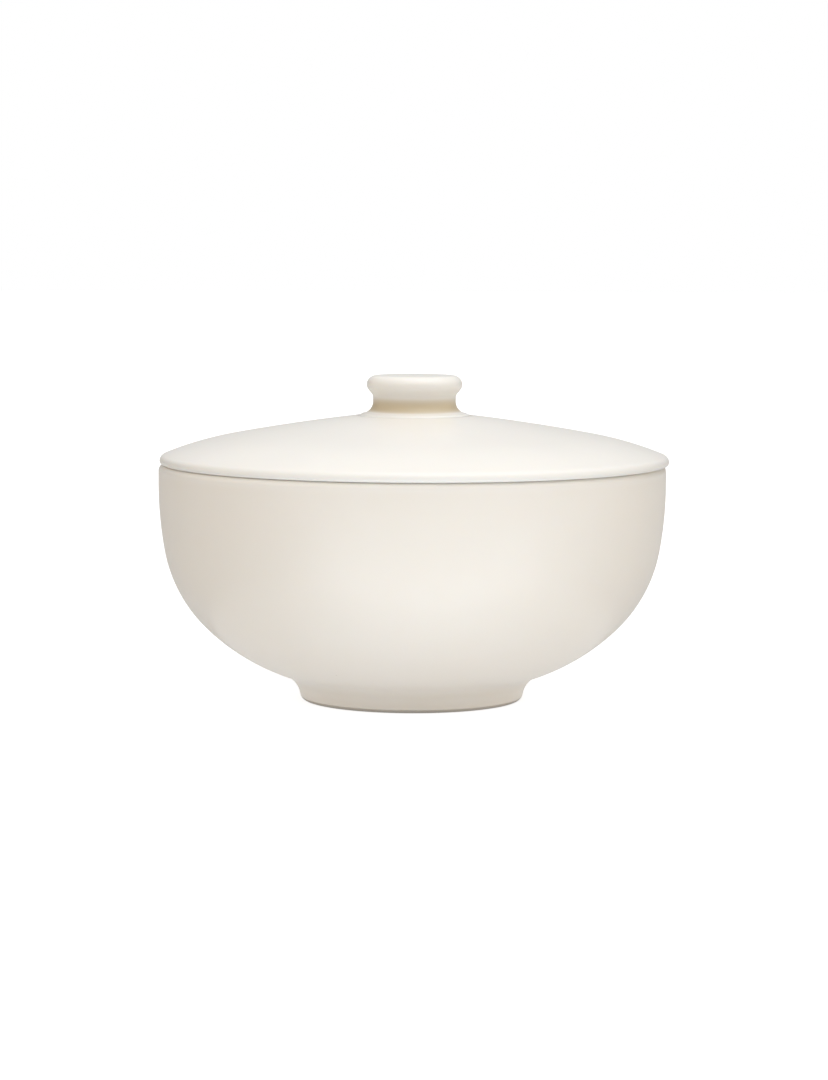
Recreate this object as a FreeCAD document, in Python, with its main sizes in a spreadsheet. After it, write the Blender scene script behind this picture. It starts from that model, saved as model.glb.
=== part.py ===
import FreeCAD, Part
import os
import Sketcher

# Lidded porcelain bowl, in millimetres, +Z up.
# The origin is the centre of the foot's underside, so the bowl stands on z = 0.
#
# Three fired pieces, every one turned about the Z axis:
#   bowl  a deep round bowl on a low foot ring, glazed all over but for the foot's edge
#   lid   a shallow dome that rests on the rim, with a flange that drops inside it
#   knob  a flat round grip on a short waisted neck, luted over a vent in the lid
# The lid and its knob lift off together, straight up.

OUT_DIR = "parts"

# Driving dimensions: alias, millimetres, what it measures.
SIZES = [
    ("rim_radius", 75.0, "bowl, outside at the rim"),
    ("rim_height", 70.0, "top of the rim, where the lid rests"),
    ("wall_straight_from", 64.4, "height above which the wall stands upright"),
    ("shoulder_radius", 113.4, "upper wall's arc in section"),
    ("shoulder_low", 44.5, "height where the upper arc meets the belly's"),
    ("belly_radius", 42.1, "belly's arc in section"),
    ("belly_low", 22.1, "height where the belly's arc meets the underside's"),
    ("underside_radius", 61.4, "arc that carries the belly in to the foot"),
    ("foot_radius", 32.8, "outside of the foot ring at the table"),
    ("foot_inner_radius", 27.2, "inside of the foot ring"),
    ("foot_recess", 3.6, "depth of the hollow inside the foot ring"),
    ("wall", 4.0, "thickness of the bowl's wall"),
    ("floor_thickness", 4.5, "bowl's floor, over the foot's hollow"),
    ("rim_outer_round", 1.9, "rounding outside the rim"),
    ("rim_inner_round", 0.8, "rounding inside the rim"),
    ("foot_outer_round", 2.4, "rounding outside the foot's edge"),
    ("foot_inner_round", 1.2, "rounding inside the foot's edge"),
    ("recess_round", 1.5, "corner between foot ring and base"),
    ("lid_radius", 75.3, "lid at its widest, just proud of the rim"),
    ("lid_edge_low_round", 1.0, "rounding under the lid's edge"),
    ("lid_edge_high_round", 2.0, "rounding over the lid's edge"),
    ("dome_high", 14.4, "height of the dome at the knob, above the rim"),
    ("dome_break_height", 8.4, "height where the dome starts to turn down"),
    ("dome_break_radius", 55.0, "distance from the axis of that place"),
    ("dome_radius", 650.0, "nearly straight inner part of the dome, in section"),
    ("lid_thickness", 4.0, "lid's wall"),
    ("ceiling_edge_height", 1.5, "underside of the dome where it meets the flange"),
    ("flange_gap", 0.7, "play between flange and bowl, on the radius"),
    ("flange_wall", 3.5, "thickness of the flange"),
    ("flange_depth", 6.5, "how far the flange drops inside the rim"),
    ("flange_round", 1.2, "rounding of the flange's lower edge"),
    ("flange_root_round", 0.6, "corner between flange and the lid's seat"),
    ("ceiling_round", 3.0, "corner between flange and dome, inside"),
    ("seat_radius", 16.4, "shallow seat in the dome that takes the knob"),
    ("seat_depth", 0.6, "depth of that seat"),
    ("vent_radius", 7.3, "hole in the lid under the hollow knob"),
    ("vent_round", 1.0, "rounding of that hole's lower edge"),
    ("knob_height", 12.6, "knob's crown above its seat"),
    ("knob_radius", 14.1, "knob's head at its widest"),
    ("head_middle", 9.6, "height of that widest place above the seat"),
    ("head_top_round", 2.75, "rounding over the head"),
    ("head_under_round", 2.2, "rounding under the head"),
    ("neck_radius", 12.2, "knob's neck at its narrowest"),
    ("neck_top", 6.2, "height above the seat where the head's underside leaves the neck"),
    ("neck_top_round", 1.0, "hollow curve there"),
    ("neck_foot_round", 3.7, "hollow curve from neck to lid"),
    ("knob_crown", 4.0, "thickness of the knob over its well"),
    ("well_round", 2.5, "corner at the top of the well"),
]


class Outline:
    """A closed section beside the Z axis, sketched roughly, then held by sizes from the sheet."""

    def __init__(self, body, name, start):
        self.sketch = body.newObject("Sketcher::SketchObject", name)
        plane = next(o for o in body.Origin.OriginFeatures if o.Role == "XZ_Plane")
        self.sketch.AttachmentSupport = (plane, "")
        self.sketch.MapMode = "FlatFace"
        self.pen = FreeCAD.Vector(*start, 0)
        self.parts = {}
        self.order = []

    def _keep(self, name, geometry, first, last, end):
        self.parts[name] = (self.sketch.addGeometry(geometry, False), first, last)
        self.order.append(name)
        self.pen = end

    def line(self, name, end):
        end = FreeCAD.Vector(*end, 0)
        self._keep(name, Part.LineSegment(self.pen, end), 1, 2, end)

    def arc(self, name, middle, end):
        """Arc through a middle point. A sketch keeps arcs anticlockwise, so the ends may swap."""
        middle = FreeCAD.Vector(*middle, 0)
        end = FreeCAD.Vector(*end, 0)
        if (middle - self.pen).cross(end - middle).z > 0:
            self._keep(name, Part.Arc(self.pen, middle, end), 1, 2, end)
        else:
            self._keep(name, Part.Arc(end, middle, self.pen), 2, 1, end)

    def rule(self, kind, *where):
        return self.sketch.addConstraint(Sketcher.Constraint(kind, *where))

    def join(self, smooth=()):
        """Join each part to the next, tangent after the parts named in smooth."""
        for name, after in zip(self.order, self.order[1:] + self.order[:1]):
            here, _, last = self.parts[name]
            there, first, _ = self.parts[after]
            self.rule("Tangent" if name in smooth else "Coincident", here, last, there, first)

    def level(self, *names):
        for name in names:
            self.rule("Horizontal", self.parts[name][0])

    def upright(self, *names):
        for name in names:
            self.rule("Vertical", self.parts[name][0])

    def on_axis(self, name):
        """The part ends on the Z axis."""
        self.rule("PointOnObject", self.parts[name][0], self.parts[name][2], -2)

    def centre_on_axis(self, name):
        self.rule("PointOnObject", self.parts[name][0], 3, -2)

    def centre_level_with_end(self, name):
        """The arc ends upright: its centre is as high as its end."""
        piece, _, last = self.parts[name]
        self.rule("Horizontal", piece, 3, piece, last)

    def centre_level_with_start(self, name):
        """The arc starts upright: its centre is as high as its start."""
        piece, first, _ = self.parts[name]
        self.rule("Horizontal", piece, 3, piece, first)

    def _bind(self, index, label, formula):
        self.sketch.renameConstraint(index, label)
        self.sketch.setExpression("Constraints." + label, formula)

    def radius(self, name, formula):
        piece = self.parts[name][0]
        index = self.rule("Radius", piece, self.sketch.Geometry[piece].Radius)
        self._bind(index, name + "_radius", formula)

    def out(self, name, formula):
        """Distance from the axis to the part's end."""
        piece, _, last = self.parts[name]
        index = self.rule("DistanceX", -1, 1, piece, last, self.sketch.getPoint(piece, last).x)
        self._bind(index, name + "_out", formula)

    def up(self, name, formula):
        """Height of the part's end."""
        piece, _, last = self.parts[name]
        index = self.rule("DistanceY", -1, 1, piece, last, self.sketch.getPoint(piece, last).y)
        self._bind(index, name + "_up", formula)


def size(alias):
    """A driving dimension as a number."""
    return float(SHEET.get(alias))


def new_body(name):
    body = DOC.addObject("PartDesign::Body", name)
    body.Label = name
    return body


def turn(body, kind, outline, name):
    """Revolve an outline a full turn about Z: to add it, or to cut it away."""
    before = body.Shape.Volume if kind == "Groove" else 0.0
    feature = body.newObject("PartDesign::" + kind, name)
    feature.Profile = outline.sketch
    feature.ReferenceAxis = (outline.sketch, ["V_Axis"])
    feature.Angle = 360.0
    body.Tip = feature
    DOC.recompute()
    if kind == "Groove" and feature.Shape.Volume > 0.999 * before:
        raise RuntimeError(name + " cut nothing away")
    return feature


def ring_edges(shape, radius, height):
    """Names of the round edges about Z with this radius at this height."""
    found = []
    for number, edge in enumerate(shape.Edges, start=1):
        if edge.Degenerated or not isinstance(edge.Curve, Part.Circle):
            continue
        off_radius = abs(edge.Curve.Radius - radius)
        off_height = abs(edge.Curve.Center.z - height)
        if max(off_radius, off_height) < 0.01:
            found.append("Edge%d" % number)
    if not found:
        raise RuntimeError("no edge of radius %.2f at height %.2f" % (radius, height))
    return found


def round_edge(body, name, radius, height, cell):
    """Round the edges at a radius and a height, in the body's own frame, by a sheet size."""
    base = body.Tip
    fillet = body.newObject("PartDesign::Fillet", name)
    fillet.Base = (base, ring_edges(base.Shape, radius, height))
    fillet.Radius = size(cell)
    fillet.setExpression("Radius", "Sizes." + cell)
    body.Tip = fillet
    DOC.recompute()


def make_bowl():
    """Deep bowl on a foot ring: the outside turned solid, then hollowed from above and below."""
    body = new_body("bowl")

    outside = Outline(body, "bowl_outside", start=(0, 0))
    outside.line("axis", (0, 70))
    outside.line("rim", (75, 70))
    outside.line("wall", (75, 64.4))
    outside.arc("shoulder", (74.56, 54.4), (73.2, 44.5))
    outside.arc("belly", (69.1, 32.4), (61.6, 22.1))
    outside.arc("underside", (50.8, 13.5), (38, 7.4))
    outside.arc("foot", (34.5, 5), (32.8, 0))
    outside.line("base", (0, 0))
    outside.join(smooth=("wall", "shoulder", "belly", "underside"))
    outside.rule("Coincident", outside.parts["base"][0], 2, -1, 1)
    outside.upright("axis", "wall")
    outside.level("rim", "base")
    outside.centre_level_with_end("foot")
    outside.up("axis", "Sizes.rim_height")
    outside.out("rim", "Sizes.rim_radius")
    outside.up("wall", "Sizes.wall_straight_from")
    outside.radius("shoulder", "Sizes.shoulder_radius")
    outside.up("shoulder", "Sizes.shoulder_low")
    outside.radius("belly", "Sizes.belly_radius")
    outside.up("belly", "Sizes.belly_low")
    outside.radius("underside", "Sizes.underside_radius")
    outside.out("foot", "Sizes.foot_radius")
    turn(body, "Revolution", outside, "bowl_solid")

    inside = Outline(body, "bowl_inside", start=(0, 8.1))
    inside.line("axis", (0, 70))
    inside.line("mouth", (71, 70))
    inside.line("wall", (71, 64.4))
    inside.arc("shoulder", (70.54, 54.4), (69.2, 44.5))
    inside.arc("belly", (64.5, 32), (56, 22.1))
    inside.arc("underside", (38, 11.8), (17.2, 8.1))
    inside.line("floor", (0, 8.1))
    inside.join(smooth=("wall", "shoulder", "belly", "underside"))
    inside.on_axis("floor")
    inside.upright("axis", "wall")
    inside.level("mouth", "floor")
    inside.up("axis", "Sizes.rim_height")
    inside.out("mouth", "Sizes.rim_radius - Sizes.wall")
    inside.up("wall", "Sizes.wall_straight_from")
    inside.radius("shoulder", "Sizes.shoulder_radius - Sizes.wall")
    inside.up("shoulder", "Sizes.shoulder_low")
    inside.radius("belly", "Sizes.belly_radius - Sizes.wall")
    inside.up("belly", "Sizes.belly_low")
    inside.up("floor", "Sizes.foot_recess + Sizes.floor_thickness")
    turn(body, "Groove", inside, "bowl_hollow")

    recess = Outline(body, "foot_recess_section", start=(0, 0))
    recess.line("axis", (0, 3.6))
    recess.line("ceiling", (27.2, 3.6))
    recess.line("side", (27.2, 0))
    recess.line("table", (0, 0))
    recess.join()
    recess.rule("Coincident", recess.parts["table"][0], 2, -1, 1)
    recess.upright("axis", "side")
    recess.level("ceiling", "table")
    recess.up("axis", "Sizes.foot_recess")
    recess.out("ceiling", "Sizes.foot_inner_radius")
    turn(body, "Groove", recess, "foot_recess")

    inner, recess_high = size("foot_inner_radius"), size("foot_recess")
    round_edge(body, "recess_corner", inner, recess_high, "recess_round")
    round_edge(body, "foot_edge_inside", inner, 0, "foot_inner_round")
    round_edge(body, "foot_edge_outside", size("foot_radius"), 0, "foot_outer_round")
    rim, high = size("rim_radius"), size("rim_height")
    round_edge(body, "rim_inside", rim - size("wall"), high, "rim_inner_round")
    round_edge(body, "rim_outside", rim, high, "rim_outer_round")
    return body


def make_lid():
    """Shallow dome with a locating flange. Its own z = 0 is the face that rests on the rim."""
    body = new_body("lid")
    body.setExpression("Placement.Base.z", "Sizes.rim_height")

    outside = Outline(body, "lid_outside", start=(0, -6.5))
    outside.line("axis", (0, 13.8))
    outside.line("seat", (16, 13.8))
    outside.line("step", (16, 14.4))
    outside.arc("dome", (35, 11.7), (55, 8.4))
    outside.arc("brow", (65, 6.1), (74.05, 2.9))
    outside.arc("edge_high", (74.97, 2.1), (75.3, 1))
    outside.arc("edge_low", (75.0, 0.3), (74.3, 0))
    outside.line("rest", (70.3, 0))
    outside.line("flange", (70.3, -6.5))
    outside.line("bottom", (0, -6.5))
    outside.join(smooth=("dome", "brow", "edge_high", "edge_low"))
    outside.on_axis("bottom")
    outside.upright("axis", "step", "flange")
    outside.level("seat", "rest", "bottom")
    outside.centre_level_with_end("edge_high")
    outside.up("bottom", "-Sizes.flange_depth")
    outside.up("seat", "Sizes.dome_high - Sizes.seat_depth")
    outside.out("seat", "Sizes.seat_radius")
    outside.up("step", "Sizes.dome_high")
    outside.radius("dome", "Sizes.dome_radius")
    outside.out("dome", "Sizes.dome_break_radius")
    outside.up("dome", "Sizes.dome_break_height")
    outside.radius("edge_high", "Sizes.lid_edge_high_round")
    outside.out("edge_high", "Sizes.lid_radius")
    outside.radius("edge_low", "Sizes.lid_edge_low_round")
    outside.rule("PointOnObject", outside.parts["rest"][0], 2, -1)
    outside.out("rest", "Sizes.rim_radius - Sizes.wall - Sizes.flange_gap")
    turn(body, "Revolution", outside, "lid_solid")

    under = Outline(body, "lid_underside", start=(0, -6.5))
    under.line("axis", (0, 10.4))
    under.line("flat", (16, 10.4))
    under.arc("ceiling", (35, 7.7), (55, 4.4))
    under.arc("brow", (61, 3.1), (66.8, 1.5))
    under.line("flange", (66.8, -6.5))
    under.line("bottom", (0, -6.5))
    under.join(smooth=("ceiling",))
    under.on_axis("bottom")
    under.upright("axis", "flange")
    under.level("flat", "bottom")
    under.up("bottom", "-Sizes.flange_depth")
    under.up("flat", "Sizes.dome_high - Sizes.lid_thickness")
    under.out("flat", "Sizes.seat_radius")
    under.radius("ceiling", "Sizes.dome_radius")
    under.out("ceiling", "Sizes.dome_break_radius")
    under.up("ceiling", "Sizes.dome_break_height - Sizes.lid_thickness")
    under.out("brow", "Sizes.rim_radius - Sizes.wall - Sizes.flange_gap - Sizes.flange_wall")
    under.up("brow", "Sizes.ceiling_edge_height")
    turn(body, "Groove", under, "lid_hollow")

    vent = Outline(body, "vent_section", start=(0, 10.4))
    vent.line("axis", (0, 13.8))
    vent.line("high", (7.3, 13.8))
    vent.line("side", (7.3, 10.4))
    vent.line("low", (0, 10.4))
    vent.join()
    vent.on_axis("low")
    vent.upright("axis", "side")
    vent.level("high", "low")
    vent.up("axis", "Sizes.dome_high - Sizes.seat_depth")
    vent.out("high", "Sizes.vent_radius")
    vent.up("low", "Sizes.dome_high - Sizes.lid_thickness")
    turn(body, "Groove", vent, "vent")

    flange_radius = size("rim_radius") - size("wall") - size("flange_gap")
    flange_inner = flange_radius - size("flange_wall")
    flange_low = -size("flange_depth")
    ceiling = size("dome_high") - size("lid_thickness")
    round_edge(body, "flange_root", flange_radius, 0, "flange_root_round")
    round_edge(body, "flange_edge_outside", flange_radius, flange_low, "flange_round")
    round_edge(body, "flange_edge_inside", flange_inner, flange_low, "flange_round")
    round_edge(body, "ceiling_corner", flange_inner, size("ceiling_edge_height"), "ceiling_round")
    round_edge(body, "vent_edge", size("vent_radius"), ceiling, "vent_round")
    return body


def make_knob():
    """Flat round grip on a waisted neck, hollow from below. Its own z = 0 is its seat."""
    body = new_body("knob")
    seat = "Sizes.rim_height + Sizes.dome_high - Sizes.seat_depth"
    body.setExpression("Placement.Base.z", seat)

    outside = Outline(body, "knob_outside", start=(0, 0))
    outside.line("axis", (0, 12.6))
    outside.arc("crown", (6, 12.53), (11.5, 12.35))
    outside.arc("head_top", (13.4, 11.6), (14.1, 9.6))
    outside.arc("head_under", (13.96, 8.85), (13.6, 8.2))
    outside.line("underside", (12.45, 6.85))
    outside.arc("neck_top", (12.26, 6.5), (12.2, 6.2))
    outside.line("neck", (12.2, 4.3))
    outside.arc("neck_foot", (13.3, 1.7), (15.9, 0.6))
    outside.line("land", (16.4, 0.6))
    outside.line("side", (16.4, 0))
    outside.line("base", (0, 0))
    outside.join(smooth=("crown", "head_top", "head_under", "underside",
                         "neck_top", "neck", "neck_foot"))
    outside.rule("Coincident", outside.parts["base"][0], 2, -1, 1)
    outside.upright("axis", "neck", "side")
    outside.level("land", "base")
    outside.centre_on_axis("crown")
    outside.centre_level_with_end("head_top")
    outside.up("axis", "Sizes.knob_height")
    outside.radius("head_top", "Sizes.head_top_round")
    outside.out("head_top", "Sizes.knob_radius")
    outside.up("head_top", "Sizes.head_middle")
    outside.radius("head_under", "Sizes.head_under_round")
    outside.radius("neck_top", "Sizes.neck_top_round")
    outside.up("neck_top", "Sizes.neck_top")
    outside.out("neck", "Sizes.neck_radius")
    outside.radius("neck_foot", "Sizes.neck_foot_round")
    outside.out("land", "Sizes.seat_radius")
    outside.up("land", "Sizes.seat_depth")
    turn(body, "Revolution", outside, "knob_solid")

    well = Outline(body, "well_section", start=(0, 0))
    well.line("axis", (0, 8.6))
    well.line("top", (7.3, 8.6))
    well.line("side", (7.3, 0))
    well.line("base", (0, 0))
    well.join()
    well.rule("Coincident", well.parts["base"][0], 2, -1, 1)
    well.upright("axis", "side")
    well.level("top", "base")
    well.up("axis", "Sizes.knob_height - Sizes.knob_crown")
    well.out("top", "Sizes.vent_radius")
    turn(body, "Groove", well, "well")

    well_top = size("knob_height") - size("knob_crown")
    round_edge(body, "well_corner", size("vent_radius"), well_top, "well_round")
    return body


def check(bodies):
    """Stop if an object failed or a piece's shape isn't one sound solid."""
    for item in DOC.Objects:
        if "Invalid" in item.State or "Error" in item.State:
            raise RuntimeError("%s: %s" % (item.Name, item.State))
    for body in bodies:
        shape = body.Shape
        if shape.isNull() or not shape.isValid() or len(shape.Solids) != 1:
            raise RuntimeError(body.Label + " isn't one sound solid")


DOC = FreeCAD.newDocument("lidded_bowl")
SHEET = DOC.addObject("Spreadsheet::Sheet", "Sizes")
for row, (alias, value, meaning) in enumerate(SIZES, start=1):
    SHEET.set("A%d" % row, alias)
    SHEET.set("B%d" % row, str(value))
    SHEET.set("C%d" % row, meaning)
    SHEET.setAlias("B%d" % row, alias)
DOC.recompute()

pieces = [make_bowl(), make_lid(), make_knob()]
DOC.recompute()
check(pieces)

os.makedirs(OUT_DIR, exist_ok=True)
for piece in pieces:
    piece.Shape.exportStep(os.path.join(OUT_DIR, piece.Label + ".step"))
    box = piece.Shape.optimalBoundingBox(False)
    print("%-6s volume %9.1f mm3  radius %6.2f  z %6.2f to %6.2f"
          % (piece.Label, piece.Shape.Volume, box.XMax, box.ZMin, box.ZMax))
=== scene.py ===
import math

import bpy
import numpy as np
from mathutils import Euler, Matrix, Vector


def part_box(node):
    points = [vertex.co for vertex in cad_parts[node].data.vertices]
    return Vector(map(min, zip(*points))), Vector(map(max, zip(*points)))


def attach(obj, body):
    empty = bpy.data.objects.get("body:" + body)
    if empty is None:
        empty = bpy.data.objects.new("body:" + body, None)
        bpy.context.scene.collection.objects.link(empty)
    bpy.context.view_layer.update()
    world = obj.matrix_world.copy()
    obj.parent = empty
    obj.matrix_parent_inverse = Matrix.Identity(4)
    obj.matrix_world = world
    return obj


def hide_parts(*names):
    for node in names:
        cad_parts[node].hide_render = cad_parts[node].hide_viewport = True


# Lidded porcelain bowl: a deep bowl on a foot ring, and a shallow domed lid with a luted knob.
# Every piece is a section turned about Z. Sections are drawn in millimetres, meshes are in metres.

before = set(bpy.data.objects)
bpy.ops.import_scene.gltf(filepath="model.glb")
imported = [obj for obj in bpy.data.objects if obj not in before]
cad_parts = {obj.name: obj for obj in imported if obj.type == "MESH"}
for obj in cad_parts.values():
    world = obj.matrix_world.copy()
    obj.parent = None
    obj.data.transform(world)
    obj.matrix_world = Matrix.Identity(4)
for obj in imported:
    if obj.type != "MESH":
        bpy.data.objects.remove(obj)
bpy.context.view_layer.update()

MM = 0.001
SEGMENTS = 288
SPACING = 1.2        # longest step along a section
ARC_STEP = 9.0       # longest step round a small arc, in degrees

# Bowl, in section.
WALL = 4.0
FLOOR_TOP = 8.1
FLOOR_RADIUS = 17.2
SHOULDER = 113.4            # radii of the outside's three arcs, from the rim down
BELLY = 42.1
UNDERSIDE = 61.4
SHOULDER_TURN = 10.1        # degrees that each of them turns in
BELLY_TURN = 34.9
UNDERSIDE_TURN = 25.9
INSIDE_UNDERSIDE = 60.7     # the inside's lowest arc, and the turns of all three from the floor up
INSIDE_TURNS = (39.7, 39.8, 10.5)
STRAIGHT_FROM = 64.4        # height above which the wall stands upright
RIM_INNER_ROUND = 0.8
RIM_OUTER_ROUND = 1.9
FOOT_CURVE = 7.7
FOOT_LEAN = 9.4             # degrees off upright where the glaze stops
FOOT_OUTER_ROUND = 2.0
GLAZE_UNDER = 55.0          # how far round that edge the glaze runs, in degrees
FOOT_INNER_ROUND = 1.2
FOOT_INNER_RADIUS = 27.2
FOOT_RECESS = 3.6
RECESS_ROUND = 1.5
GLAZE_THICK = 0.14
GLAZE_LIP = 0.3             # radius of the hollow at the glaze's edge, as a share of its thickness

# Lid, in section, with heights above the rim.
DOME_HIGH = 14.4
SEAT_RADIUS = 16.4
SEAT_DEPTH = 0.6
DOME_BREAK_RADIUS = 55.0    # where the nearly straight inner dome starts to turn down
DOME_BREAK_HEIGHT = 8.4
DOME_RADIUS = 650.0
LID_THICK = 4.0
EDGE_LOW_ROUND = 1.0
EDGE_HIGH_ROUND = 2.0
FLANGE_GAP = 0.7
FLANGE_WALL = 3.5
FLANGE_DEPTH = 6.5
FLANGE_ROUND = 1.2
FLANGE_ROOT = 0.6
CEILING_ROUND = 3.0
VENT_RADIUS = 7.3
VENT_ROUND = 1.0
CEILING_FLAT = 2.0          # the ceiling's flat middle stops this far short of the seat's radius
CEILING_BREAK_ROUND = 15.0  # rounding from that flat into the dome's slope
CEILING_BROW_TURN = 5.0     # degrees that the ceiling follows the brow's arc

# Knob, in section, with heights above its seat.
KNOB_HEIGHT = 12.6
KNOB_RADIUS = 14.1
HEAD_MIDDLE = 9.6
HEAD_TOP_ROUND = 2.75
HEAD_UNDER_ROUND = 2.2
NECK_RADIUS = 12.2
NECK_TOP = 6.0              # height where the head's conical underside leaves the neck
NECK_TOP_ROUND = 1.3
NECK_FOOT = 3.4
KNOB_CROWN = 4.0
WELL_ROUND = 2.5
CREASE_ROUND = 0.3          # the joint with the lid shows as a crease and a low bead above it
BEAD_ROUND = 1.0
BEAD_TURN = 50.0

# How far a hand-finished pot is out of round, in millimetres, and the lid off centre in its play.
OUT_OF_ROUND = 0.06
THREE_LOBED = 0.04
LID_DRIFT = 0.6

# The glaze gathers in hollows and runs thin over edges: its depth follows the section's curvature.
# The same depth also sets the colour: darker and warmer in hollows as painted shade, paler over
# edges as a painted highlight.
# These three also spread, scale and shift the painted shade in hollows and the painted highlight
# over edges.
GATHER_AND_SHADE_SPREAD = 1.7           # distance along the section that surface tension evens it out over
GATHER_AND_SHADE_GAIN = 3.1           # a hollow of this radius fills completely
SAG_AND_SHADE_DROP = 0.9                   # distance that it slumps down an upright wall before it sets

# Finishes.
# In both glazes the last colour is painted over sharp edges: a paler painted highlight, partly
# glaze running thin there.
BOWL_GLAZE = {
    "white": (0.872, 0.832, 0.772, 1),
    "cloud": (0.862, 0.819, 0.754, 1),
    "thin_glaze_and_highlight": (0.878, 0.845, 0.794, 1),
}
LID_GLAZE = {
    "white": (0.88, 0.862, 0.822, 1),
    "cloud": (0.866, 0.846, 0.808, 1),
    "thin_glaze_and_highlight": (0.888, 0.874, 0.842, 1),
}
# Painted shade: the dark warm colour put into hollows and creases, such as the knob's neck under
# its head, partly glaze gathered there.
GATHERED_GLAZE_AND_SHADE = (0.60, 0.495, 0.315, 1)
GLAZE_SPECK = (0.42, 0.36, 0.28, 1)
BISCUIT_PALE = (0.82, 0.775, 0.70, 1)
BISCUIT_TOASTED = (0.78, 0.71, 0.61, 1)
BISCUIT_SPECK = (0.58, 0.50, 0.40, 1)

# Patterns in the finishes, as how many to the metre, and bumps in metres.
CLOUDS = 28.0
SPECK_CELLS = 95.0
SPECK_EDGES = (0.035, 0.015)    # a speck fades in between these distances from its cell's middle
SPECK_SHARE = (0.955, 0.965)    # only cells that draw more than this hold one
SPECK_STRENGTH = 0.5
GLOSS_PATCHES = 60.0
GLOSS = (0.29, 0.38)            # roughness, at its glossiest and dullest
GLAZE_IOR = 1.5
GLAZE_SCATTER = 0.15            # share of light that scatters inside, reach by colour, and scale
SCATTER_REACH = (1.0, 0.75, 0.5)
SCATTER_SCALE = 0.002
COAT = 0.18
COAT_ROUGHNESS = 0.12
RIPPLES = 55.0
RIPPLE_DEPTH = 0.00003
ORANGE_PEEL = 700.0
ORANGE_PEEL_DEPTH = 0.0000025
BISCUIT_GRAIN = 2600.0
BISCUIT_TOAST = 60.0
BISCUIT_ROUGHNESS = 0.78
BISCUIT_SHINE = 0.3
TURNING_LINES = 260.0
TURNING_DEPTH = 0.00002
GRAIN_DEPTH = 0.00003

# Stage, in metres and degrees.
CAMERA_PLACE = (0.0006, -0.983, 0.1405)
CAMERA_PITCH = 5.42
CAMERA_ROLL = 0.2
LENS = 110.8
FLOOR_RADIUS_M = 6.0
FLOOR_DROP = 0.00005
FLOOR_COLOUR = 0.4
FLOOR_GLOW = (0.15, 0.15, 0.15, 1)
FLOOR_SEEN_GLOW = (0.82, 0.82, 0.82, 1)
CARD_HEIGHT = 0.001

# Soft lights, as wide lobes of brightness round the object: bearing from the front towards the
# right, height above the level, sharpness (a power of the cosine), brightness and tint.
NEUTRAL = (1.0, 1.0, 1.0)
WARM = (1.0, 0.82, 0.6)
COOL = (0.9, 1.0, 1.1)
LIGHTS = {
    "sky": (0, 90, 2, 1.1, NEUTRAL),
    "top": (0, 90, 12, 0.6, COOL),
    "top_right": (75, 60, 10, 1.0, COOL),
    "high_front": (10, 55, 12, 1.2, NEUTRAL),
    "front_right": (55, 20, 10, 0.9, WARM),
    "front_left": (-50, 30, 8, 0.9, WARM),
    "left": (-100, 12, 12, 0.7, WARM),
    "right": (100, 12, 12, 0.9, WARM),
    "back": (180, 15, 4, 0.4, NEUTRAL),
}

# Round cards lying on the floor and shining up: place, diameter, watts and tint.
CARDS = {
    "card_front": ((0.04, -0.34), 0.5, 0.4, COOL),
    "card_under": ((0.0, -0.06), 0.22, 0.04, NEUTRAL),
}


class Pen:
    """Draws a section in the (radius, height) plane as one run of straights and tangent arcs.

    The heading is in degrees: 0 outwards, 90 up. A straight adds points at even steps along the
    heading. An arc of radius R turns about the centre that lies R to the left or right of the pen,
    so a point is the centre plus R times the sine and minus the cosine of the heading there.
    """

    def __init__(self, radius, height, heading, finish="glaze"):
        self.at = np.array([radius, height], float)
        self.heading = heading
        self.finish = finish
        self.points = [self.at[None]]
        self.finishes = []

    def _add(self, points):
        self.points.append(points)
        self.finishes += [self.finish] * len(points)
        self.at = points[-1]

    def straight(self, length):
        if length <= 0:
            return
        count = max(1, math.ceil(length / SPACING))
        along = np.linspace(0, length, count + 1)[1:, None]
        angle = math.radians(self.heading)
        self._add(self.at + along * np.array([math.cos(angle), math.sin(angle)]))

    def arc(self, radius, turn):
        """Positive turns to the left."""
        side = math.copysign(1, turn)
        length = radius * math.radians(abs(turn))
        count = max(1, math.ceil(length / SPACING), math.ceil(abs(turn) / ARC_STEP))
        start = math.radians(self.heading)
        centre = self.at + side * radius * np.array([-math.sin(start), math.cos(start)])
        angle = start + math.radians(turn) * np.arange(1, count + 1) / count
        self._add(centre + side * radius * np.stack([np.sin(angle), -np.cos(angle)], 1))
        self.heading += turn

    def to_radius(self, radius):
        self.straight((radius - self.at[0]) / math.cos(math.radians(self.heading)))

    def to_height(self, height):
        self.straight((height - self.at[1]) / math.sin(math.radians(self.heading)))

    def section(self):
        return np.concatenate(self.points), self.finishes


def glaze_depth_and_painted_light(section, clockwise):
    """How much the glaze gathers at each point, from -1 on a sharp edge to 1 in a tight hollow.

    The turn at each point, spread along the section by a Gaussian of the distance, is the
    curvature, counted positive where the surface is hollow. The glaze sags as it melts, so each
    point's share lands further down the section by the sag times how steep the section is there.
    The same value paints the glaze: darker and warmer in hollows as painted shade, paler over
    edges as a painted highlight.
    """
    step = np.roll(section, -1, 0) - section
    length = np.hypot(step[:, 0], step[:, 1])
    heading = np.arctan2(step[:, 1], step[:, 0])
    turn = (heading - np.roll(heading, 1) + math.pi) % (2 * math.pi) - math.pi
    turn[[0, -1]] = 0
    along = np.concatenate([[0], np.cumsum(length[:-1])])
    sagged = along - SAG_AND_SHADE_DROP * np.sin(heading)
    apart = (along[:, None] - sagged[None]) / GATHER_AND_SHADE_SPREAD
    spread = np.exp(-apart ** 2 / 2) / (GATHER_AND_SHADE_SPREAD * math.sqrt(2 * math.pi))
    hollow = spread @ turn * (1 if clockwise else -1)
    return np.clip(hollow * GATHER_AND_SHADE_GAIN, -1, 1)


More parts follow.
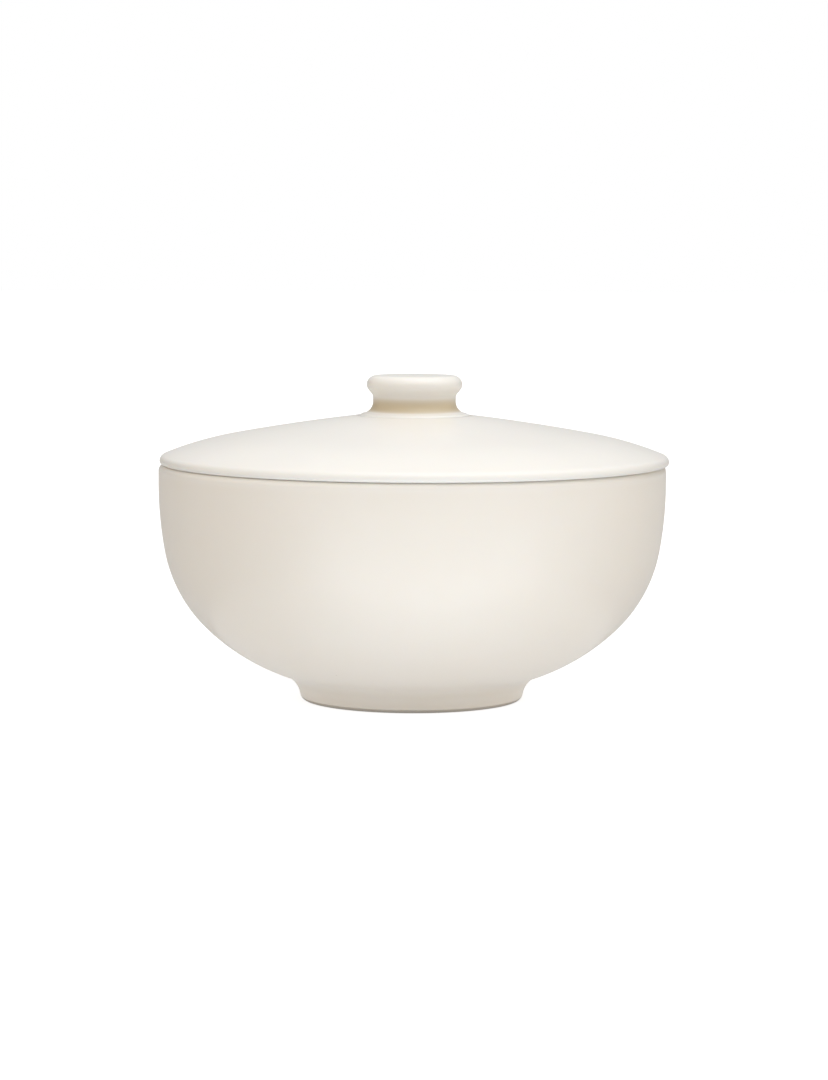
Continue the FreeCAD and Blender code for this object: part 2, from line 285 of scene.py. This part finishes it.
def turned(name, pen, materials, drift=0.0, phase=0.0):
    """Mesh of a section turned about Z, as a grid of angle by distance along the section.

    Radius is the section's, times one plus a slight two-lobed and three-lobed cosine of the angle,
    which is how a thrown or cast pot leaves the kiln. A section that starts and ends on the axis
    gets a single point at each pole, and any other section is closed on itself as a ring.
    """
    section, finishes = pen.section()
    on_axis = section[0, 0] < 1e-6
    if on_axis:
        poles, section = section[[0, -1]], section[1:-1]
        face_finish = finishes[1:-1]
    else:
        section = section[:-1]
        face_finish = finishes
    across, up = section.T
    clockwise = (across * np.roll(up, -1) - up * np.roll(across, -1)).sum() < 0
    # Curvature value for the glaze colour: painted shade in hollows, painted highlight over edges,
    # partly real glaze depth.
    depth_and_shade = glaze_depth_and_painted_light(section, clockwise)
    rows = len(section)
    angle = np.linspace(0, 2 * math.pi, SEGMENTS, endpoint=False)
    share = section[:, 0] / section[:, 0].max()
    lobes = OUT_OF_ROUND * np.cos(2 * angle + phase) + THREE_LOBED * np.cos(3 * angle - phase)
    radius = section[:, 0][None] + lobes[:, None] * share[None] ** 2
    grid = np.stack([
        radius * np.cos(angle)[:, None] + drift,
        radius * np.sin(angle)[:, None],
        np.broadcast_to(section[:, 1], radius.shape),
    ], 2).reshape(-1, 3)

    here = np.arange(SEGMENTS)[:, None] * rows
    after = np.roll(here, -1, 0)
    last = rows - 1 if on_axis else rows
    low = np.arange(last)[None]
    high = (low + 1) % rows
    quads = np.stack([here + low, after + low, after + high, here + high], 2).reshape(-1, 4)
    quad_finish = np.tile([face_finish[i] != "glaze" for i in range(last)], SEGMENTS)
    faces = quads.tolist()
    slots = quad_finish.astype(int).tolist()
    if on_axis:
        start, end = len(grid), len(grid) + 1
        grid = np.concatenate([grid, np.stack([np.full(2, drift), np.zeros(2), poles[:, 1]], 1)])
        first, final = here[:, 0], here[:, 0] + rows - 1
        faces += np.stack([np.full(SEGMENTS, start), np.roll(first, -1), first], 1).tolist()
        faces += np.stack([np.full(SEGMENTS, end), final, np.roll(final, -1)], 1).tolist()
        slots += [0] * (2 * SEGMENTS)

    depths_and_shade = np.zeros(len(grid))
    depths_and_shade[:len(depth_and_shade) * SEGMENTS] = np.tile(depth_and_shade, SEGMENTS)
    if clockwise:
        faces = [face[::-1] for face in faces]
    mesh = bpy.data.meshes.new(name)
    mesh.from_pydata((grid * MM).tolist(), [], faces)
    for material in materials:
        mesh.materials.append(material)
    mesh.polygons.foreach_set("material_index", slots)
    mesh.polygons.foreach_set("use_smooth", [True] * len(faces))
    mesh.attributes.new("glaze_depth_and_painted_light", "FLOAT", "POINT").data.foreach_set("value", depths_and_shade)
    mesh.update()
    piece = bpy.data.objects.new(name, mesh)
    bpy.context.scene.collection.objects.link(piece)
    return piece


def node_tree(material):
    material.use_nodes = True
    tree = material.node_tree
    return tree, tree.nodes["Principled BSDF"]


def add(tree, kind, **settings):
    node = tree.nodes.new(kind)
    for key, value in settings.items():
        if key in node.inputs:
            node.inputs[key].default_value = value
        else:
            setattr(node, key, value)
    return node


def ramp(tree, source, low, high):
    """0 below low, 1 above high, eased between."""
    node = add(tree, "ShaderNodeMapRange", interpolation_type="SMOOTHSTEP")
    tree.links.new(source, node.inputs["Value"])
    node.inputs["From Min"].default_value = low
    node.inputs["From Max"].default_value = high
    return node.outputs["Result"]


def blend_colour(tree, amount, under, over):
    """Mixes the colour over into the colour under; either may be a socket."""
    node = add(tree, "ShaderNodeMix", data_type="RGBA")
    sockets = (node.inputs[0], node.inputs[6], node.inputs[7])
    for value, socket in zip((amount, under, over), sockets):
        if isinstance(value, (tuple, float)):
            socket.default_value = value
        else:
            tree.links.new(value, socket)
    return node.outputs[2]


def noise(tree, where, scale, detail=2.0, roughness=0.5):
    node = add(tree, "ShaderNodeTexNoise", Scale=scale, Detail=detail, Roughness=roughness)
    tree.links.new(where, node.inputs["Vector"])
    return node.outputs["Fac"]


def glaze_material(name, white, cloud, thin_glaze_and_highlight):
    """Clear glaze over warm white porcelain: gathered warm in hollows, thin and pale over edges.

    The warm dark in hollows is painted shade as well as gathered glaze, and the pale over edges
    is a painted highlight as well as thin glaze. Over that lie a faint clouding, a few pin specks,
    and a slow ripple in the gloss.
    """
    material = bpy.data.materials.new(name)
    tree, surface = node_tree(material)
    link = tree.links.new
    where = add(tree, "ShaderNodeTexCoord").outputs["Object"]
    depth_and_shade = add(tree, "ShaderNodeAttribute", attribute_name="glaze_depth_and_painted_light").outputs["Fac"]

    clouds = ramp(tree, noise(tree, where, CLOUDS, 3.0), 0.35, 0.65)
    colour = blend_colour(tree, clouds, white, cloud)
    # Painted highlight: sharp edges are painted paler, partly thin glaze.
    colour = blend_colour(tree, ramp(tree, depth_and_shade, -0.5, -1.0), colour, thin_glaze_and_highlight)
    # Painted shade: hollows and creases are painted darker and warmer, partly glaze gathered there.
    colour = blend_colour(tree, ramp(tree, depth_and_shade, 0.25, 0.9), colour, GATHERED_GLAZE_AND_SHADE)

    cells = add(tree, "ShaderNodeTexVoronoi", Scale=SPECK_CELLS, Randomness=1.0)
    link(where, cells.inputs["Vector"])
    chosen = add(tree, "ShaderNodeSeparateColor")
    link(cells.outputs["Color"], chosen.inputs[0])
    near = ramp(tree, cells.outputs["Distance"], *SPECK_EDGES)
    few = ramp(tree, chosen.outputs[0], *SPECK_SHARE)
    speck = add(tree, "ShaderNodeMath", operation="MULTIPLY")
    link(near, speck.inputs[0])
    link(few, speck.inputs[1])
    faint = add(tree, "ShaderNodeMath", operation="MULTIPLY")
    link(speck.outputs[0], faint.inputs[0])
    faint.inputs[1].default_value = SPECK_STRENGTH
    colour = blend_colour(tree, faint.outputs[0], colour, GLAZE_SPECK)
    link(colour, surface.inputs["Base Color"])

    gloss = add(tree, "ShaderNodeMapRange")
    link(noise(tree, where, GLOSS_PATCHES, 3.0), gloss.inputs["Value"])
    gloss.inputs["To Min"].default_value, gloss.inputs["To Max"].default_value = GLOSS
    link(gloss.outputs["Result"], surface.inputs["Roughness"])
    surface.inputs["IOR"].default_value = GLAZE_IOR
    surface.inputs["Subsurface Weight"].default_value = GLAZE_SCATTER
    surface.inputs["Subsurface Radius"].default_value = SCATTER_REACH
    surface.inputs["Subsurface Scale"].default_value = SCATTER_SCALE
    surface.inputs["Coat Weight"].default_value = COAT
    surface.inputs["Coat Roughness"].default_value = COAT_ROUGHNESS

    ripple = add(tree, "ShaderNodeBump", Strength=1.0, Distance=RIPPLE_DEPTH)
    link(noise(tree, where, RIPPLES), ripple.inputs["Height"])
    orange_peel = add(tree, "ShaderNodeBump", Strength=1.0, Distance=ORANGE_PEEL_DEPTH)
    link(noise(tree, where, ORANGE_PEEL, 1.0), orange_peel.inputs["Height"])
    link(ripple.outputs["Normal"], orange_peel.inputs["Normal"])
    link(orange_peel.outputs["Normal"], surface.inputs["Normal"])
    return material


def biscuit_material():
    """Bare fired clay where the glaze is wiped off: fine grain, iron specks and turning lines."""
    material = bpy.data.materials.new("bare_biscuit")
    tree, surface = node_tree(material)
    link = tree.links.new
    where = add(tree, "ShaderNodeTexCoord").outputs["Object"]
    grain = noise(tree, where, BISCUIT_GRAIN, 3.0, 0.7)
    toast = noise(tree, where, BISCUIT_TOAST, 2.0)
    colour = blend_colour(tree, ramp(tree, toast, 0.35, 0.7), BISCUIT_PALE, BISCUIT_TOASTED)
    colour = blend_colour(tree, ramp(tree, grain, 0.62, 0.72), colour, BISCUIT_SPECK)
    link(colour, surface.inputs["Base Color"])
    surface.inputs["Roughness"].default_value = BISCUIT_ROUGHNESS
    surface.inputs["Specular IOR Level"].default_value = BISCUIT_SHINE

    lines = add(tree, "ShaderNodeTexWave", wave_type="RINGS", rings_direction="Z",
                Scale=TURNING_LINES, Distortion=1.5, Detail=2.0)
    link(where, lines.inputs["Vector"])
    turning = add(tree, "ShaderNodeBump", Strength=1.0, Distance=TURNING_DEPTH)
    link(lines.outputs["Fac"], turning.inputs["Height"])
    sandy = add(tree, "ShaderNodeBump", Strength=1.0, Distance=GRAIN_DEPTH)
    link(grain, sandy.inputs["Height"])
    link(turning.outputs["Normal"], sandy.inputs["Normal"])
    link(sandy.outputs["Normal"], surface.inputs["Normal"])
    return material


def wiped_edge(pen, turn, finish):
    """The glaze rolls over its own thickness on to the bare clay, or back from it."""
    pen.arc(GLAZE_THICK, turn)
    pen.finish = finish
    pen.arc(GLAZE_THICK * GLAZE_LIP, -turn)


def make_bowl(materials):
    """Inside from the floor's centre out and up, over the rim, down the outside, under the foot."""
    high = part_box("bowl")[1] / MM
    pen = Pen(0, FLOOR_TOP, 0)
    pen.to_radius(FLOOR_RADIUS)
    for radius, turn in zip((INSIDE_UNDERSIDE, BELLY - WALL, SHOULDER - WALL), INSIDE_TURNS):
        pen.arc(radius, turn)
    pen.to_height(high.z - RIM_INNER_ROUND)
    pen.arc(RIM_INNER_ROUND, -90)
    pen.to_radius(high.x - RIM_OUTER_ROUND)
    pen.arc(RIM_OUTER_ROUND, -90)
    pen.to_height(STRAIGHT_FROM)
    pen.arc(SHOULDER, -SHOULDER_TURN)
    pen.arc(BELLY, -BELLY_TURN)
    pen.arc(UNDERSIDE, -UNDERSIDE_TURN)
    pen.arc(FOOT_CURVE, SHOULDER_TURN + BELLY_TURN + UNDERSIDE_TURN - FOOT_LEAN)
    wiped = GLAZE_THICK * (1 + GLAZE_LIP)
    pen.to_height(FOOT_OUTER_ROUND * (1 - math.sin(math.radians(FOOT_LEAN))) - wiped)
    pen.arc(FOOT_OUTER_ROUND, -GLAZE_UNDER)
    wiped_edge(pen, -90, "biscuit")
    left = 90 - FOOT_LEAN - GLAZE_UNDER
    pen.arc(pen.at[1] / (1 - math.cos(math.radians(left))), -left)
    pen.to_radius(FOOT_INNER_RADIUS + FOOT_INNER_ROUND)
    pen.arc(FOOT_INNER_ROUND, -90)
    wiped_edge(pen, 90, "glaze")
    pen.to_height(FOOT_RECESS - RECESS_ROUND)
    pen.arc(RECESS_ROUND, 90)
    pen.to_radius(0)
    bowl = turned("bowl_glazed", pen, materials)
    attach(bowl, "bowl")
    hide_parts("bowl")


def dome_slopes():
    """Slopes of the dome's long arc at its ends: the chord's slope, less and plus half its turn."""
    across = DOME_BREAK_RADIUS - SEAT_RADIUS
    down = DOME_HIGH - DOME_BREAK_HEIGHT
    half_turn = math.degrees(math.asin(math.hypot(across, down) / 2 / DOME_RADIUS))
    chord = math.degrees(math.atan2(down, across))
    return chord - half_turn, chord + half_turn


def brow_radius(slope, lid_radius):
    """Radius of the arc that leaves the dome smoothly and meets the edge's rounding smoothly.

    With d from the dome's break to the rounding's centre, n the dome's inward normal and r the
    rounding's radius, it is (d.d - r.r) / (2 (d.n - r)).
    """
    across = lid_radius - EDGE_HIGH_ROUND - DOME_BREAK_RADIUS
    d = np.array([across, EDGE_LOW_ROUND - DOME_BREAK_HEIGHT])
    normal = -np.array([math.sin(math.radians(slope)), math.cos(math.radians(slope))])
    r = EDGE_HIGH_ROUND
    radius = (d @ d - r * r) / (2 * (d @ normal - r))
    to_centre = d - radius * normal
    return radius, math.degrees(math.atan2(to_centre[0], to_centre[1]))


def make_lid(materials):
    """Underside outwards, down and up the flange, along the seat, round the edge, over the dome."""
    bowl_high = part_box("bowl")[1] / MM
    rim = bowl_high.z
    lid_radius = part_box("lid")[1].x / MM
    flange = bowl_high.x - WALL - FLANGE_GAP
    slope_in, slope_out = dome_slopes()
    brow, edge_slope = brow_radius(slope_out, lid_radius)

    pen = Pen(VENT_RADIUS + VENT_ROUND, rim + DOME_HIGH - LID_THICK, 0)
    pen.to_radius(SEAT_RADIUS - CEILING_FLAT)
    pen.arc(CEILING_BREAK_ROUND, -slope_in)
    pen.arc(DOME_RADIUS - LID_THICK, slope_in - slope_out)
    pen.arc(brow - LID_THICK, -CEILING_BROW_TURN)
    corner = CEILING_ROUND * (1 + math.sin(math.radians(pen.heading)))
    pen.to_radius(flange - FLANGE_WALL - corner)
    pen.arc(CEILING_ROUND, -90 - pen.heading)
    wiped = GLAZE_THICK * (1 + GLAZE_LIP)
    pen.to_height(rim - FLANGE_DEPTH + FLANGE_ROUND + wiped)
    wiped_edge(pen, 90, "biscuit")
    pen.arc(FLANGE_ROUND, 90)
    pen.to_radius(flange - FLANGE_ROUND - wiped)
    pen.arc(FLANGE_ROUND, 90)
    wiped_edge(pen, -90, "glaze")
    pen.to_height(rim - FLANGE_ROOT)
    pen.arc(FLANGE_ROOT, -90)
    pen.to_radius(lid_radius - EDGE_LOW_ROUND)
    pen.arc(EDGE_LOW_ROUND, 90)
    pen.arc(EDGE_HIGH_ROUND, 90 - edge_slope)
    pen.arc(brow, edge_slope - slope_out)
    pen.arc(DOME_RADIUS, slope_out - slope_in)
    pen.heading = -90
    pen.straight(SEAT_DEPTH)
    pen.heading = 180
    pen.to_radius(VENT_RADIUS)
    pen.heading = -90
    pen.to_height(rim + DOME_HIGH - LID_THICK + VENT_ROUND)
    pen.arc(VENT_ROUND, 90)
    lid = turned("lid_glazed", pen, materials, drift=LID_DRIFT, phase=1.0)
    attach(lid, "lid")
    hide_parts("lid")


def underside_lean():
    """Lean off upright, and length, of the straight that touches the roundings above and below it.

    Across is the distance between the roundings' centres along the radius, rise the same in
    height, and the roundings added up are how far apart the centres are square to the straight.
    """
    rounds = NECK_TOP_ROUND + HEAD_UNDER_ROUND
    across = rounds - (KNOB_RADIUS - NECK_RADIUS)
    rise = HEAD_MIDDLE - NECK_TOP
    apart = math.hypot(across, rise)
    lean = math.atan2(rise, across) - math.acos(rounds / apart)
    return math.degrees(lean), math.sqrt(apart ** 2 - rounds ** 2)


def make_knob(materials):
    """Well from its top down, out along the seat, up the neck and over the head to the axis."""
    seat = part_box("knob")[0].z / MM
    slope_in = dome_slopes()[0]
    pen = Pen(0, seat + KNOB_HEIGHT - KNOB_CROWN, 0)
    pen.to_radius(VENT_RADIUS - WELL_ROUND)
    pen.arc(WELL_ROUND, -90)
    pen.to_height(seat)
    pen.heading = 0
    pen.to_radius(SEAT_RADIUS)
    pen.heading = 90
    pen.straight(SEAT_DEPTH)
    pen.heading = 180 - slope_in
    bead_across = (BEAD_ROUND + CREASE_ROUND) * math.sin(math.radians(BEAD_TURN))
    pen.to_radius(NECK_RADIUS + NECK_FOOT * (1 - math.sin(math.radians(slope_in))) + bead_across)
    pen.arc(CREASE_ROUND, -BEAD_TURN)
    pen.arc(BEAD_ROUND, BEAD_TURN)
    pen.arc(NECK_FOOT, slope_in - 90)
    lean, slant = underside_lean()
    pen.to_height(seat + NECK_TOP)
    pen.arc(NECK_TOP_ROUND, -lean)
    pen.straight(slant)
    pen.arc(HEAD_UNDER_ROUND, lean)
    flat = KNOB_RADIUS - HEAD_TOP_ROUND
    rise = KNOB_HEIGHT - HEAD_MIDDLE
    crown = (flat ** 2 + rise ** 2 - HEAD_TOP_ROUND ** 2) / (2 * (rise - HEAD_TOP_ROUND))
    crown_turn = math.degrees(math.asin(flat / (crown - HEAD_TOP_ROUND)))
    pen.arc(HEAD_TOP_ROUND, 90 - crown_turn)
    pen.arc(crown, crown_turn)
    knob = turned("knob_glazed", pen, materials, drift=LID_DRIFT, phase=2.0)
    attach(knob, "lid")
    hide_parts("knob")


def make_stage():
    """Pale floor, wide enough to hide its edge and bright enough to meet the white behind.

    From below it is clear, so that the underside of the foot can be looked at.
    """
    material = bpy.data.materials.new("pale_floor")
    tree, surface = node_tree(material)
    surface.inputs["Base Color"].default_value = (FLOOR_COLOUR, FLOOR_COLOUR, FLOOR_COLOUR, 1)
    surface.inputs["Roughness"].default_value = 0.9
    surface.inputs["Specular IOR Level"].default_value = 0.0
    seen = add(tree, "ShaderNodeLightPath").outputs["Is Camera Ray"]
    glow = blend_colour(tree, seen, FLOOR_GLOW, FLOOR_SEEN_GLOW)
    tree.links.new(glow, surface.inputs["Emission Color"])
    surface.inputs["Emission Strength"].default_value = 1.0
    from_below = add(tree, "ShaderNodeNewGeometry").outputs["Backfacing"]
    clear = add(tree, "ShaderNodeBsdfTransparent")
    either = add(tree, "ShaderNodeMixShader")
    tree.links.new(from_below, either.inputs[0])
    tree.links.new(surface.outputs[0], either.inputs[1])
    tree.links.new(clear.outputs[0], either.inputs[2])
    tree.links.new(either.outputs[0], tree.nodes["Material Output"].inputs["Surface"])
    angle = np.linspace(0, 2 * math.pi, 96, endpoint=False)
    ring = np.stack([np.cos(angle), np.sin(angle), 0 * angle], 1) * FLOOR_RADIUS_M
    ring[:, 2] = -FLOOR_DROP
    mesh = bpy.data.meshes.new("floor")
    mesh.from_pydata(ring.tolist(), [], [list(range(len(angle)))])
    mesh.materials.append(material)
    floor = bpy.data.objects.new("floor", mesh)
    bpy.context.scene.collection.objects.link(floor)


def make_lights():
    """Studio light as the sum of soft lobes, and plain white where the camera sees past the object.

    A lobe's brightness in any direction is the cosine of the angle from its middle, and none
    behind it, raised to its sharpness, times its brightness and tint.
    """
    world = bpy.data.worlds.new("studio")
    bpy.context.scene.world = world
    world.use_nodes = True
    tree = world.node_tree
    tree.nodes.clear()
    link = tree.links.new
    where = add(tree, "ShaderNodeTexCoord")
    total = None
    for name, (bearing, height, sharpness, brightness, tint) in LIGHTS.items():
        across, up = math.radians(bearing), math.radians(height)
        towards = add(tree, "ShaderNodeVectorMath", operation="DOT_PRODUCT")
        link(where.outputs["Generated"], towards.inputs[0])
        level = math.cos(up)
        towards.inputs[1].default_value = (
            level * math.sin(across), -level * math.cos(across), math.sin(up))
        ahead = add(tree, "ShaderNodeMath", operation="MAXIMUM")
        link(towards.outputs["Value"], ahead.inputs[0])
        ahead.inputs[1].default_value = 0.0
        lobe = add(tree, "ShaderNodeMath", operation="POWER")
        link(ahead.outputs[0], lobe.inputs[0])
        lobe.inputs[1].default_value = sharpness
        light = add(tree, "ShaderNodeVectorMath", operation="SCALE", name="light " + name)
        light.inputs[0].default_value = [brightness * part for part in tint]
        link(lobe.outputs[0], light.inputs["Scale"])
        if total is None:
            total = light
            continue
        both = add(tree, "ShaderNodeVectorMath", operation="ADD")
        link(total.outputs[0], both.inputs[0])
        link(light.outputs[0], both.inputs[1])
        total = both
    studio = add(tree, "ShaderNodeBackground", name="studio")
    link(total.outputs[0], studio.inputs["Color"])
    white = add(tree, "ShaderNodeBackground", name="white")
    white.inputs["Color"].default_value = (1, 1, 1, 1)
    seen = add(tree, "ShaderNodeLightPath")
    either = add(tree, "ShaderNodeMixShader")
    link(seen.outputs["Is Camera Ray"], either.inputs[0])
    link(studio.outputs[0], either.inputs[1])
    link(white.outputs[0], either.inputs[2])
    out = add(tree, "ShaderNodeOutputWorld")
    link(either.outputs[0], out.inputs["Surface"])


def make_card(name, place, diameter, strength, colour):
    """Round light flat on the floor, facing up, which the camera doesn't see."""
    light = bpy.data.lights.new(name, "AREA")
    light.shape = "DISK"
    light.size = diameter
    light.energy = strength
    light.color = colour
    card = bpy.data.objects.new(name, light)
    card.location = (*place, CARD_HEIGHT)
    card.rotation_euler = (math.pi, 0, 0)
    card.visible_camera = False
    bpy.context.scene.collection.objects.link(card)


def make_camera():
    camera = bpy.data.cameras.new("camera")
    camera.lens = LENS
    camera.sensor_width = 36.0
    holder = bpy.data.objects.new("camera", camera)
    look = Euler((math.radians(90 - CAMERA_PITCH), 0, 0)).to_matrix()
    roll = Euler((0, 0, math.radians(CAMERA_ROLL))).to_matrix()
    holder.matrix_world = Matrix.Translation(CAMERA_PLACE) @ (look @ roll).to_4x4()
    bpy.context.scene.collection.objects.link(holder)
    bpy.context.scene.camera = holder


make_camera()
make_stage()
make_lights()
for name, card in CARDS.items():
    make_card(name, *card)
bpy.context.scene.view_settings.view_transform = "Standard"

biscuit = biscuit_material()
make_bowl([glaze_material("bowl_glaze", **BOWL_GLAZE), biscuit])
lid_finishes = [glaze_material("lid_glaze", **LID_GLAZE), biscuit]
make_lid(lid_finishes)
make_knob(lid_finishes)
